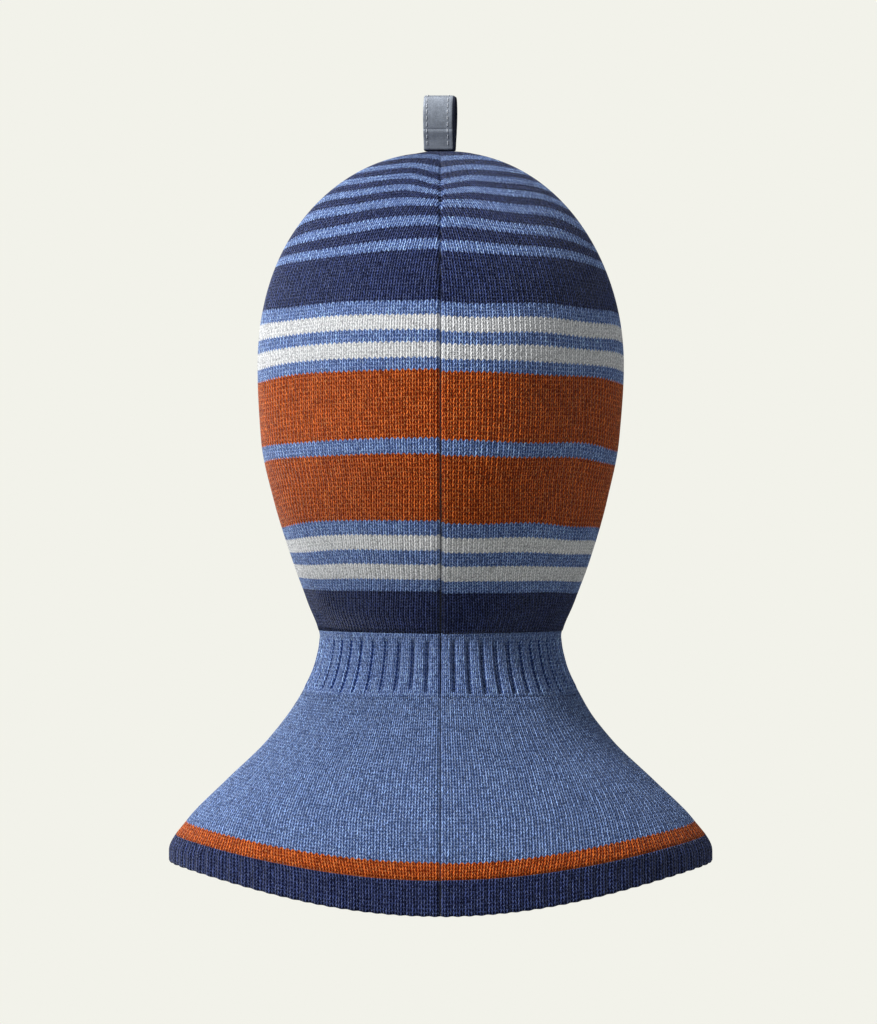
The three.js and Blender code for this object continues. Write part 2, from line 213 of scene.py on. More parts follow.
def tube(centre, radius, up):
    """Vertices and quads of a closed six-sided tube along points, whose ends come to small caps."""
    centre = np.asarray(centre, float)
    along = np.gradient(centre, axis=0)
    along /= np.linalg.norm(along, axis=1, keepdims=True)
    first = np.cross(along, np.asarray(up, float))
    first /= np.linalg.norm(first, axis=1, keepdims=True) + 1e-12
    second = np.cross(first, along)
    radii = np.full(len(centre), float(radius))
    radii[[0, -1]] *= TUBE_CAP
    turns = np.arange(6) * 2 * math.pi / 6
    circle = first[:, None] * np.cos(turns)[:, None] + second[:, None] * np.sin(turns)[:, None]
    vertices = (centre[:, None] + circle * radii[:, None, None]).reshape(-1, 3)
    index = np.arange(len(vertices)).reshape(-1, 6)
    beside = np.roll(index, -1, 1)
    quads = np.stack([index[:-1], beside[:-1], beside[1:], index[1:]], -1).reshape(-1, 4)
    start, end = index[0], index[-1]
    caps = np.array([start[[3, 2, 1, 0]], start[[5, 4, 3, 0]], end[[0, 1, 2, 3]], end[[0, 3, 4, 5]]])
    return vertices, np.concatenate([quads, caps])


def gather(name, parts):
    """One piece from several closed bodies, each vertices and quads."""
    offset, vertices, faces = 0, [], []
    for points, quads in parts:
        vertices.append(points)
        faces.append(quads + offset)
        offset += len(points)
    faces = np.concatenate(faces)
    return make_mesh(name, np.concatenate(vertices), faces, np.zeros((len(faces), 4, 2)), len(faces))


# ------------------------------------------------------------------ materials


def linear(hexcode):
    """A colour from its hexadecimal screen value."""
    channels = [(hexcode >> shift & 255) / 255 for shift in (16, 8, 0)]
    return (*[c / 12.92 if c <= 0.04045 else ((c + 0.055) / 1.055) ** 2.4 for c in channels], 1)


LIGHT_BLUE, NAVY, WHITE, RUST = linear(0x819ACC), linear(0x343F6A), linear(0xF8F9FA), linear(0xBF5D24)
# the light-blue yarn painted darker on the collar: painted shade against the extra light its upward slope gets
# from the lamps
SHADED_COLLAR_BLUE = linear(0x778FBD)


class Graph:
    """A material's nodes. A value is a socket or a number."""

    def __init__(self, name):
        self.material = bpy.data.materials.new(name)
        self.material.use_nodes = True
        self.tree = self.material.node_tree
        self.shader = self.tree.nodes["Principled BSDF"]

    def node(self, kind, **settings):
        made = self.tree.nodes.new(kind)
        for key, value in settings.items():
            setattr(made, key, value)
        return made

    def feed(self, socket, value):
        if isinstance(value, bpy.types.NodeSocket):
            self.tree.links.new(value, socket)
        else:
            socket.default_value = value

    def calc(self, operation, *values):
        made = self.node("ShaderNodeMath", operation=operation)
        for socket, value in zip(made.inputs, values):
            self.feed(socket, value)
        return made.outputs[0]

    def scale(self, value, low, high, out_low=0.0, out_high=1.0):
        """value brought from one range to another, eased and held at its ends."""
        made = self.node("ShaderNodeMapRange", interpolation_type="SMOOTHSTEP")
        for socket, number in zip(made.inputs, (value, low, high, out_low, out_high)):
            self.feed(socket, number)
        return made.outputs[0]

    def mix(self, factor, a, b, blend="MIX"):
        made = self.node("ShaderNodeMix", data_type="RGBA", blend_type=blend, clamp_result=True)
        for socket, value in zip((made.inputs[0], made.inputs[6], made.inputs[7]), (factor, a, b)):
            self.feed(socket, value)
        return made.outputs[2]

    def gamma(self, colour, power):
        made = self.node("ShaderNodeGamma")
        self.feed(made.inputs["Color"], colour)
        made.inputs["Gamma"].default_value = power
        return made.outputs[0]

    def vector(self, x, y, z=0.0):
        made = self.node("ShaderNodeCombineXYZ")
        for socket, value in zip(made.inputs, (x, y, z)):
            self.feed(socket, value)
        return made.outputs[0]

    def noise(self, vector, scale, detail):
        made = self.node("ShaderNodeTexNoise")
        self.feed(made.inputs["Vector"], vector)
        made.inputs["Scale"].default_value = scale
        made.inputs["Detail"].default_value = detail
        return made.outputs["Fac"]

    def place(self):
        return self.node("ShaderNodeTexCoord").outputs["Object"]

    def uv(self):
        split = self.node("ShaderNodeSeparateXYZ")
        self.feed(split.inputs[0], self.node("ShaderNodeUVMap", uv_map="knit").outputs[0])
        return split.outputs[0], split.outputs[1]

    def bump(self, height_mm):
        made = self.node("ShaderNodeBump")
        made.inputs["Distance"].default_value = MM
        made.inputs["Strength"].default_value = 1.0
        self.feed(made.inputs["Height"], height_mm)
        self.feed(self.shader.inputs["Normal"], made.outputs[0])

    def surface(self, **values):
        for key, value in values.items():
            self.feed(self.shader.inputs[key.replace("_", " ")], value)


# The hood's stripes from the top: yarn, width in millimetres down the back just beside the seam, and courses.
STRIPES = [
    (NAVY, 22.3, 14), (LIGHT_BLUE, 10.2, 6), (NAVY, 8.1, 5), (LIGHT_BLUE, 6.3, 4), (NAVY, 6.1, 4),
    (LIGHT_BLUE, 5.0, 3), (NAVY, 5.1, 3), (LIGHT_BLUE, 4.5, 3), (NAVY, 5.5, 3), (LIGHT_BLUE, 5.4, 3),
    (NAVY, 6.0, 4), (LIGHT_BLUE, 5.5, 3), (NAVY, 6.9, 4), (LIGHT_BLUE, 5.1, 3), (NAVY, 22.5, 15),
    (LIGHT_BLUE, 5.8, 4), (WHITE, 6.3, 4), (LIGHT_BLUE, 5.4, 3), (WHITE, 6.4, 4), (LIGHT_BLUE, 5.1, 3),
    (RUST, 28.2, 15), (LIGHT_BLUE, 6.0, 4), (RUST, 29.3, 15), (LIGHT_BLUE, 6.7, 4), (WHITE, 7.3, 4),
    (LIGHT_BLUE, 7.0, 4), (WHITE, 7.7, 5), (LIGHT_BLUE, 6.4, 4), (NAVY, 24.0, 15),
]
COLLAR_COURSES = 54
ARCH = 0.55  # courses by which a row of loops rises in each wale's middle
# Of a wale: how far out a loop's leg is at its top, how much further at its foot, and half its width.
LEG_TOP, LEG_SPREAD, LEG_HALF_WIDTH = 0.14, 0.22, 0.14
# a faint bluish light added to the painted shade in the holes between the loops
PIT_LIGHT = (0.02, 0.02, 0.03, 1)
RUST_COURSES = 5  # of the collar, just above the hem
HIDDEN_COURSES = 4  # more of the same yarn, past the collar's edge
# the middle scale is that of the painted highlight specks, where fibres would catch the light
FLECK_SCALE, HIGHLIGHT_SPECK_SCALE, CLOUD_SCALE = 1500, 2000, 60  # of the fibres' noises, per metre
FLECK_DEPTH = 0.7  # how far fibres are darker or lighter than their yarn
STITCH_SHADES = 0.70, 1.38  # the darkest and the lightest stitch, of the yarn's own shade


def knit_material(name, stripes, relief=0.55, fibre=0.12, contrast=1.0, pits=1.0):
    """Stockinette seen with its courses rising in each wale's middle. stripes are the yarns and their courses
    from the top; contrast is that of the fibres and of the painted highlight specks on them, and the last
    argument is the strength of the painted shade in the holes between the legs of the loops."""
    g = Graph(name)
    u, v = g.uv()
    wale = g.calc("FLOOR", u)
    across = g.calc("SUBTRACT", g.calc("FRACT", u), 0.5)
    out = g.calc("ABSOLUTE", across)
    lean = g.calc("ADD", g.calc("MULTIPLY_ADD", out, -2 * ARCH, ARCH / 2), v)
    course = g.calc("FLOOR", lean)
    down = g.calc("FRACT", lean)
    # each loop's two legs part on the way down; height is 1 on a leg and 0 in the holes beside it
    middle = g.calc("MULTIPLY_ADD", down, LEG_SPREAD, LEG_TOP)
    off = g.calc("DIVIDE", g.calc("SUBTRACT", out, middle), LEG_HALF_WIDTH)
    leg = g.calc("EXPONENT", g.calc("MULTIPLY", g.calc("MULTIPLY", off, off), -0.7))
    overlap = g.calc("POWER", g.calc("ABSOLUTE", g.calc("MULTIPLY_ADD", down, 2, -1)), 4)
    height = g.calc("MULTIPLY", leg, g.calc("MULTIPLY_ADD", overlap, -0.30, 1))

    total = sum(count for _, count in stripes)
    if len(stripes) > 1:
        ramp = g.node("ShaderNodeValToRGB")
        ramp.color_ramp.interpolation = "CONSTANT"
        done = 0
        for i, (yarn, count) in enumerate(stripes):
            stops = ramp.color_ramp.elements
            stop = stops[0] if i == 0 else stops[1] if i == 1 else stops.new(done / total)
            stop.position, stop.color = done / total, yarn
            done += count
        # the ramp is read in 256 steps, each rounded down, so it is read near the end of a course
        g.feed(ramp.inputs[0], g.calc("DIVIDE", g.calc("ADD", course, 0.9), total))
        yarn = ramp.outputs[0]
    else:
        yarn = g.node("ShaderNodeRGB").outputs[0]
        yarn.default_value = stripes[0][0]

    # each leg of each stitch differs a little, and fibres of lighter and darker tints run through it
    which = g.node("ShaderNodeTexWhiteNoise", noise_dimensions="3D")
    g.feed(which.inputs["Vector"], g.vector(wale, course, g.calc("GREATER_THAN", across, 0)))
    own = which.outputs[0]
    fleck = g.noise(g.place(), FLECK_SCALE, 1.0)
    highlight_speck = g.noise(g.place(), HIGHLIGHT_SPECK_SCALE, 0.0)
    cloud = g.noise(g.place(), CLOUD_SCALE, 2.0)
    depth = FLECK_DEPTH * contrast
    fibres = g.scale(fleck, 0.32, 0.68, 1 - depth, 1 + depth)
    shade = g.calc("MULTIPLY", g.scale(own, 0, 1, *STITCH_SHADES), fibres)
    shade = g.calc("MULTIPLY", shade, g.scale(cloud, 0.3, 0.7, 0.94, 1.06))
    lit = g.mix(1.0, yarn, g.vector(shade, shade, shade), "MULTIPLY")
    # painted highlights: at the specks the colour turns to the yarn's paler, less saturated tint
    lit = g.mix(g.scale(highlight_speck, 0.58, 0.72, 0.0, contrast), lit, g.gamma(yarn, 0.62))
    # painted shade in the holes between the legs: light that reaches them has met the yarn twice, so the yarn
    # is darkened and deepened there
    twice = g.mix(1.0, g.mix(1.0, yarn, (0.5, 0.5, 0.5, 1), "MULTIPLY"), PIT_LIGHT, "ADD")
    pit = g.mix(1.0, yarn, twice, "MULTIPLY")
    # the painted shade goes where the relief is low, in the holes beside the legs and where the loops overlap
    filled = g.scale(height, 0.22, 0.86, 1 - pits, 1.0)
    colour = g.mix(filled, pit, lit)
    relief_mm = g.calc("MULTIPLY_ADD", height, relief, g.calc("MULTIPLY", fleck, 2 * fibre))
    g.bump(relief_mm)
    g.surface(Base_Color=colour, Roughness=0.95, Sheen_Weight=0.12, Sheen_Roughness=0.3)
    g.surface(Sheen_Tint=(0.85, 0.88, 0.95, 1), Specular_IOR_Level=0.06)
    return g.material


def tape_material(name, colour, pitch, relief, roughness, metallic=0.0, glints=0.0):
    """Woven or filmed tape with a fine crosswise grain."""
    g = Graph(name)
    split = g.node("ShaderNodeSeparateXYZ")
    g.feed(split.inputs[0], g.place())
    x, z = split.outputs[0], split.outputs[2]
    ribs = g.calc("SINE", g.calc("MULTIPLY", z, 2 * math.pi / (pitch * MM)))
    cells = g.calc("SINE", g.calc("MULTIPLY", x, 2 * math.pi / (pitch * MM)))
    grain = g.calc("MULTIPLY", g.calc("ADD", ribs, cells), 0.5)
    soft = g.noise(g.place(), 300, 3.0)
    fine = g.noise(g.place(), 2500, 2.0)
    glint = g.scale(fine, 0.3, 0.7, 1 - glints, 1 + glints)
    shade = g.calc("MULTIPLY", g.scale(soft, 0.3, 0.7, 0.88, 1.1), glint)
    g.surface(Base_Color=g.mix(1.0, colour, g.vector(shade, shade, shade), "MULTIPLY"), Metallic=metallic)
    g.surface(Roughness=g.scale(fine, 0.3, 0.7, roughness - 0.08, roughness + 0.08))
    g.bump(g.calc("ADD", g.calc("MULTIPLY", grain, relief), g.calc("MULTIPLY", soft, 3 * relief)))
    return g.material


def thread_material(name, colour):
    """Twisted sewing thread."""
    g = Graph(name)
    twist = g.node("ShaderNodeTexWave", wave_type="BANDS", bands_direction="DIAGONAL")
    g.feed(twist.inputs["Vector"], g.place())
    twist.inputs["Scale"].default_value = 900
    shade = g.scale(twist.outputs["Fac"], 0, 1, 0.72, 1.08)
    g.surface(Base_Color=g.mix(1.0, colour, g.vector(shade, shade, shade), "MULTIPLY"), Roughness=0.6)
    g.surface(Sheen_Weight=0.2)
    g.bump(g.calc("MULTIPLY", twist.outputs["Fac"], 0.06))
    return g.material


striped = knit_material("striped_wool", [(yarn, count) for yarn, _, count in STRIPES])
blue_wool = knit_material("blue_wool", [(LIGHT_BLUE, 60)])
# the collar's upper courses are in the painted-darker copy of the light-blue yarn
collar_stripes = [(SHADED_COLLAR_BLUE, COLLAR_COURSES - RUST_COURSES), (RUST, RUST_COURSES + HIDDEN_COURSES)]
collar_wool = knit_material("collar_wool", collar_stripes)
navy_wool = knit_material("navy_wool", [(NAVY, 60)])
LINING_BLUE = linear(0x3A4878)
jersey = knit_material("lining_jersey", [(LINING_BLUE, 400)], relief=0.12, fibre=0.03, contrast=0.4, pits=0.5)
membrane = tape_material("windproof_membrane", linear(0xD2D5D8), 1.6, 0.02, 0.55)
backing = tape_material("backing_tape", linear(0x20263C), 0.7, 0.06, 0.85)
reflective = tape_material("reflective_tape", linear(0x8A919C), 0.6, 0.012, 0.42, 0.25, 0.12)
pale_thread = thread_material("stitch_thread", linear(0xC9CDD4))
navy_thread = thread_material("seam_thread", linear(0x1E2748))
satin = tape_material("label_satin", linear(0xEDEDE8), 0.35, 0.015, 0.42)

# ------------------------------------------------------------------ knitted halves

HOOD_WALES = 96  # in each half
COLLAR_WALES = 104
WALE_COLUMNS = 5  # columns of cells in each wale
RIB_WALES = 4  # of the neck: three of face and one sunk
COURSE_MM = 1.6
FINE = np.linspace(0, math.pi, 721)

HOOD_END = float(station_at(NECK_TOP))
NECK_END = float(station_at(NECK_BOTTOM))
APEX = 2 / math.pi * math.asin((APEX_HOLE / LEVELS[0, 1]) ** (CROWN_POWER / 2))


def girth(station):
    """Arc lengths round half of the ring, from the middle of the back to each fine angle."""
    steps = np.diff(skin(FINE, station)[:, :2], axis=0)
    return np.concatenate([[0], np.cumsum(np.hypot(steps[:, 0], steps[:, 1]))])


FULL_GIRTH = girth(1.0)[-1]


class Half:
    """A grid over one half of the skin: rows from the start station to the end, columns along the wales."""

    def __init__(self, side, start, end, shares, columns, crowding=lambda z: 0.0):
        self.side = side
        across = np.linspace(0, 1, columns + 1)
        self.angle = np.empty((len(shares), columns + 1))
        self.from_seam = np.empty_like(self.angle)
        self.girth = np.empty(len(shares))
        for row, share in enumerate(shares):
            level = float(start(math.pi / 2) + (end(math.pi / 2) - start(math.pi / 2)) * share)
            arc = girth(level)
            part = arc / arc[-1]
            spread = part + crowding(float(ring(level)[0])) * np.sin(2 * math.pi * part) / (2 * math.pi)
            self.angle[row] = np.interp(across, spread, FINE)
            from_back = np.interp(self.angle[row], FINE, arc)
            self.from_seam[row] = np.minimum(from_back, arc[-1] - from_back)
            self.girth[row] = arc[-1]
        self.down = np.broadcast_to(np.asarray(shares)[:, None], self.angle.shape)
        first, last = start(self.angle), end(self.angle)
        self.station = first + (last - first) * self.down
        self.across = np.broadcast_to(across, self.angle.shape)
        self.z = ring(self.station)[0]

    def at(self, depth):
        points = under(self.angle, self.station, depth)
        points[..., 0] = self.side * (np.maximum(points[..., 0], 0) + SIDE_GAP)
        return points

    def cut_face(self, grow):
        """Drops the cells inside the face oval, and brings the edge of what is left onto the oval.
        by_face is then 1 at that edge, and falls to 0 a quarter of the oval's size outside it."""
        half_width, half_height = FACE_HALF_WIDTH + grow, FACE_HALF_HEIGHT + grow
        points = skin(self.angle, self.station)
        x, y, z = points[..., 0], points[..., 1], points[..., 2]
        size = np.hypot(x / half_width, (z - FACE_HEIGHT) / half_height)
        cell = sum(size[i:size.shape[0] - 1 + i, j:size.shape[1] - 1 + j] for i in (0, 1) for j in (0, 1)) / 4
        keep = (cell > 1) | (y[:-1, :-1] > 0)
        kept, dropped = np.zeros(size.shape, bool), np.zeros(size.shape, bool)
        for i in (0, 1):
            for j in (0, 1):
                window = (slice(i, size.shape[0] - 1 + i), slice(j, size.shape[1] - 1 + j))
                kept[window] |= keep
                dropped[window] |= ~keep
        rim = kept & dropped
        new_x, new_z = x / size, FACE_HEIGHT + (z - FACE_HEIGHT) / size
        new_station = station_at(new_z)
        side = ring(new_station)[1]
        new_angle = math.pi - np.arcsin(np.clip(new_x / side, -1, 1))
        self.station = np.where(rim, new_station, self.station)
        self.angle = np.where(rim, new_angle, self.angle)
        self.by_face = smooth(1 - (size - 1) / 0.25) * (y < 0)
        return keep

    def area(self, keep=None):
        """The cloth's area in square metres."""
        points = self.at(0.0) * MM
        a, b, c, d = points[:-1, :-1], points[:-1, 1:], points[1:, 1:], points[1:, :-1]
        one = np.linalg.norm(np.cross(b - a, d - a), axis=-1)
        two = np.linalg.norm(np.cross(b - c, d - c), axis=-1)
        cells = (one + two) / 2
        return float(cells.sum() if keep is None else cells[keep].sum())


def even_shares(start, end, count):
    """Shares of the way between two stations that lie evenly down the middle of the back."""
    stations = np.linspace(start, end, 3000)
    points = skin(np.zeros(3000), stations)
    arc = np.concatenate([[0], np.cumsum(np.linalg.norm(np.diff(points, axis=0), axis=1))])
    return (np.interp(np.linspace(0, arc[-1], count + 1), arc, stations) - start) / (end - start), arc[-1]


def stand_for(piece, node, material):
    """Gives a piece its material, and hides the CAD node that it stands for."""
    piece.data.materials.append(material)
    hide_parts(node)


def follow(piece, bodies):
    """Lets a piece ride on its one body; a piece that spans two bodies is baked where it lies."""
    if len(bodies) == 1:
        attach(piece, bodies[0])
    else:
        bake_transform(piece)


def declare(piece, half, keep, length, node, slot, material, bodies, limits=None):
    """Gives a half's cloth its material, hides its node, works out its flat size without keeping it, and lets
    it follow its bodies.
    """
    stand_for(piece, node, material)
    width = half.girth.max() * MM
    area = min(half.area(keep), width * length * MM)
    follow(piece, bodies)


# The two bodies that a cloth crosses between, and the heights of the stretch from one to the other.
NOD = ("hood", "neck"), (-185, NECK_BOTTOM)
TURN = ("neck", "collar"), (NECK_BOTTOM, -285)
WALE_RIDGE, COLLAR_WALE_RIDGE, RIB_WALE_RIDGE = 0.34, 0.24, 0.2  # how far a wale stands above its sides
HOOD_DIP, COLLAR_DIP = 1.7, 0.9  # how far the edges turn in at the seams
SEAM_REACH = 0.9
RIDGE, RIDGE_REACH = 1.3, 15  # the halves stand up a little towards the seams between them


def wale_ridge(u, height):
    return height * -np.abs(2 * (u % 1) - 1) ** 3


def seam_lift(half, dip, here=1.0):
    """The halves rise a little towards a seam, and their edges turn in at it."""
    ridge = RIDGE * np.exp(-half.from_seam / RIDGE_REACH)
    return here * (ridge - dip * np.exp(-(half.from_seam / SEAM_REACH) ** 2))


# Depth in millimetres, and how much lower the rows hang at the side than in the middle of the back.
ROW_DROOP = [(4, 0.5), (9, 0.6), (15, 2.6), (25, 4.6), (35, 8.5), (43, 4.2), (60, 2.0), (66, 1.7), (122, 3.6),
             (158, 3.8), (174, 1.2), (184, 0.5), (204, 0.0)]
# The same for how far the rows of the crown are drawn down at the seam, within a short reach on both sides.
ROW_SAG = [(0, 1.5), (6, 3.2), (12, 4.0), (17, 3.6), (22, 0.6), (30, 0.0)]
SAG_REACH = 9
RIGHT_SAG = 0.7  # of the left half's
RIGHT_LOWER = 1.0  # the right half's rows hang lower than the left's
ROW_WAVE = 0.3  # courses


def hang(angle):
    """How far round to the side a place is, for the droop of the rows: 0 at the back and the front."""
    t = np.clip(2 * angle / math.pi - 1, 0, 1)
    forward = (2 * t + 1) * (1 - t) ** 2 + math.pi / 2 * t * (1 - t) ** 2
    return np.where(angle < math.pi / 2, 1 - np.cos(angle), forward)


def hood_courses(half):
    """The course at each point: rows hang lower towards the sides, and are drawn down at the crown's seam."""
    beside = ring(half.station)[1] * np.sin(half.angle)
    lowered = half.z + np.interp(-half.z, *zip(*ROW_DROOP)) * hang(half.angle)
    sag = np.interp(-half.z, *zip(*ROW_SAG)) * (1 if half.side > 0 else RIGHT_SAG)
    lowered = lowered + sag * np.exp(-(beside / SAG_REACH) ** 2)
    lowered = lowered + (RIGHT_LOWER if half.side < 0 else 0.0)
    meridian = skin(np.zeros(6000), np.linspace(1e-4, HOOD_END + 0.1, 6000))
    arc = np.concatenate([[0], np.cumsum(np.linalg.norm(np.diff(meridian, axis=0), axis=1))])
    along = np.interp(-lowered, -meridian[:, 2], arc)
    depths = np.concatenate([[0], np.cumsum([mm for _, mm, _ in STRIPES])])
    courses = np.concatenate([[0], np.cumsum([count for _, _, count in STRIPES])])
    return np.interp(along, depths, courses) + ROW_WAVE * wander(half.angle * 9, half.z / 9, 11 + half.side)


# Height, and how much closer than even the wales lie at the middle of the back.
HOOD_CROWDING = [(-202, -0.19), (-195, -0.17), (-178, 0.06), (-165, 0.11), (-139, 0.21), (-110, 0.17)]
COLLAR_CROWDING = [(-318, 0.33), (-290, 0.31), (-272, 0.16), (-254, 0.05), (-232, 0.035)]
# Towards the crown's top some wales run on, closer together, and the rest run out at the seam.
RUN_OUT, RUN_OUT_POWER = 0.75, 1.6
# Under the loop the knit is flat and lies a little lower, so that the loop can fold.
LOOP_ROOM, LOOP_ROOM_STATION = 0.4, 0.12
HOOD_UNEVEN, COLLAR_UNEVEN = 0.35, 0.45  # how far the cloth lies above or below its even shape
BAND_GAP = 0.4  # from the face band to the hood's knit
# The neck's ribs: a groove's depth in millimetres and reach in wales, the height of the ribs beside it, and the
# distances from its ends to the neck's.
GROOVE_DEPTH, GROOVE_REACH, RIB_HEIGHT = 2.2, 0.62, 0.3
GROOVE_TOP, GROOVE_BOTTOM = 2.2, 1.6
COLLAR_LENGTH, HEM_LENGTH = 84, 16  # down the middle of the back
HEM_ROUND_FROM = 0.93  # of the way down the hem, where it starts to round off
HEM_GROOVE = 0.55
HEM_SCALLOP = 0.003  # stations by which the hem's ribs reach further down


def crowd(table):
    return lambda z: float(np.interp(z, *zip(*table)))


def level(station):
    """A line round the skin at one station, as Half takes its start and its end."""
    return lambda angle: station + 0 * angle


def hood_half(side, word):
    shares, length = even_shares(APEX, HOOD_END, 90)
    half = Half(side, level(APEX), level(HOOD_END), shares, WALE_COLUMNS * HOOD_WALES, crowd(HOOD_CROWDING))
    v = hood_courses(half)
    narrow = np.where(half.station < 1, half.girth[:, None] / FULL_GIRTH, 1)
    kept = 1 - RUN_OUT * np.maximum(1 - narrow, 0) ** RUN_OUT_POWER
    u = HOOD_WALES * (0.5 + (half.across - 0.5) * kept)
    off_top = smooth((half.station - 0.1) / 0.5)
    uneven = HOOD_UNEVEN * wander(half.angle * 6, half.z / 14, 3 + side)
    lift = wale_ridge(u, WALE_RIDGE) + seam_lift(half, HOOD_DIP, off_top) + uneven
    keep = half.cut_face(BAND_WIDTH + BAND_GAP)
    off_loop = smooth(half.station / LOOP_ROOM_STATION)
    lift = lift * off_loop - LOOP_ROOM * (1 - off_loop)
    piece = shell(f"hood_knit_{word}", half.at(-lift), half.at(KNIT - 0.2 * lift), u, v, keep=keep)
    declare(piece, half, keep, length, f"hood_panel_{word}", "striped_wool", striped, *NOD)


def rib_lift(u, z, side):
    """The neck's ribs: sunk wales that fade out at both ends, each at its own height."""
    off = (u - RIB_WALES + 0.5 + RIB_WALES / 2) % RIB_WALES - RIB_WALES / 2
    rib = np.floor((u - RIB_WALES + 0.5 + RIB_WALES / 2) / RIB_WALES).astype(int)
    ends = np.random.default_rng(21 + side).uniform(-1, 1, (2, COLLAR_WALES))
    upper = NECK_TOP - GROOVE_TOP + 0.5 * ends[0][rib]
    lower = NECK_BOTTOM + GROOVE_BOTTOM + ends[1][rib]
    fade = smooth((upper - z) / 2.4) * smooth((z - lower) / 1.8)
    groove = np.exp(-np.abs(off / GROOVE_REACH) ** 2.4)
    return -GROOVE_DEPTH * groove * fade + RIB_HEIGHT * (1 - groove) * fade


def neck_half(side, word):
    columns = WALE_COLUMNS * COLLAR_WALES
    shares = np.linspace(0, 1, 27)
    half = Half(side, level(HOOD_END), level(NECK_END), shares, columns, crowd(COLLAR_CROWDING))
    u = COLLAR_WALES * half.across
    lift = wale_ridge(u, RIB_WALE_RIDGE) + seam_lift(half, HOOD_DIP) + rib_lift(u, half.z, side)
    length = NECK_TOP - NECK_BOTTOM
    v = half.down * length / COURSE_MM
    piece = shell(f"neck_knit_{word}", half.at(-lift), half.at(KNIT - 0.1 * lift), u, v)
    declare(piece, half, None, length, f"neck_rib_{word}", "blue_wool", blue_wool, *NOD)


def hem_line(side_z, back_z):
    return lambda angle: station_at(side_z + (back_z - side_z) * np.abs(np.cos(angle)) ** HEM_POWER)


HEM_END = hem_line(HEM_SIDE, HEM_BACK)
HEM_START = hem_line(HEM_SIDE + HEM_DEPTH_SIDE, HEM_BACK + HEM_DEPTH_BACK)


def collar_unevenness(half, side):
    below_neck = smooth((NECK_BOTTOM - half.z) / 12)
    return COLLAR_UNEVEN * wander(half.angle * 5, half.z / 16, 31 + side) * below_neck


def collar_half(side, word):
    columns = WALE_COLUMNS * COLLAR_WALES
    shares = np.linspace(0, 1, 37)
    half = Half(side, level(NECK_END), HEM_START, shares, columns, crowd(COLLAR_CROWDING))
    u = COLLAR_WALES * half.across
    lift = wale_ridge(u, COLLAR_WALE_RIDGE) + seam_lift(half, COLLAR_DIP) + collar_unevenness(half, side)
    v = half.down * COLLAR_COURSES + 0.25 * wander(half.angle * 8, half.z / 9, 41 + side)
    piece = shell(f"collar_knit_{word}", half.at(-lift), half.at(KNIT - 0.1 * lift), u, v)
    declare(piece, half, None, COLLAR_LENGTH, f"collar_{word}", "blue_wool", collar_wool, *TURN)


def hem_half(side, word):
    shares = np.concatenate([np.linspace(0, HEM_ROUND_FROM, 11), [0.965, 0.985, 1.0]])
    half = Half(side, HEM_START, HEM_END, shares, WALE_COLUMNS * COLLAR_WALES, crowd(COLLAR_CROWDING))
    u = COLLAR_WALES * half.across
    # the rows round off at the lower edge, which is scalloped by the ends of the ribs
    ending = np.clip((half.down - HEM_ROUND_FROM) / (1 - HEM_ROUND_FROM), 0, 1)
    rib = 0.5 - 0.5 * np.cos(math.pi * u)
    half.station = half.station + HEM_SCALLOP * rib * smooth((half.down - 0.5) / 0.5)
    lift = wale_ridge(u, RIB_WALE_RIDGE) + seam_lift(half, COLLAR_DIP) + collar_unevenness(half, side)
    lift = lift - HEM_GROOVE * (1 - rib) * smooth(half.down / 0.2)
    rounding = 1 - np.sqrt(np.clip(1 - ending ** 2, 0, 1))
    v = half.down * 9
    piece = shell(f"hem_knit_{word}", half.at(rounding - lift), half.at(KNIT - rounding - 0.1 * lift), u, v)
    declare(piece, half, None, HEM_LENGTH, f"hem_rib_{word}", "navy_wool", navy_wool, ("collar",))


def lining_half(side, word):
    shares, length = even_shares(APEX, HOOD_END, 60)
    half = Half(side, level(APEX), level(HOOD_END), shares, 140)
    u = half.across * 240
    v = half.down * 300
    keep = half.cut_face(LINING_INSET)
    depth = LINING_DEPTH + 0.25 + 0.25 * wander(half.angle * 7, half.z / 12, 51 + side)
    depth = depth + (PATCH_DEPTH + 0.1 - depth) * half.by_face  # beside the face it comes out to the band
    piece = shell(f"hood_lining_{word}", half.at(depth), half.at(depth + LINING - 0.25), u, v, keep=keep)
    declare(piece, half, keep, length, f"lining_{word}", "lining_jersey", jersey, *NOD)


for side, word in ((1, "left"), (-1, "right")):
    hood_half(side, word)
    neck_half(side, word)
    collar_half(side, word)
    hem_half(side, word)
    lining_half(side, word)


# ------------------------------------------------------------------ the ribbed band round the face


def front_point(x, z, depth):
    """The point of the front of the skin behind a place of the X-Z plane, at a depth."""
    station = station_at(z)
    side = ring(station)[1]
    points = under(math.pi - np.arcsin(np.clip(np.abs(x) / side, 0, 1)), station, depth)
    points[..., 0] *= np.where(x < 0, -1.0, 1.0)
    return points


BAND_RIBS = 128


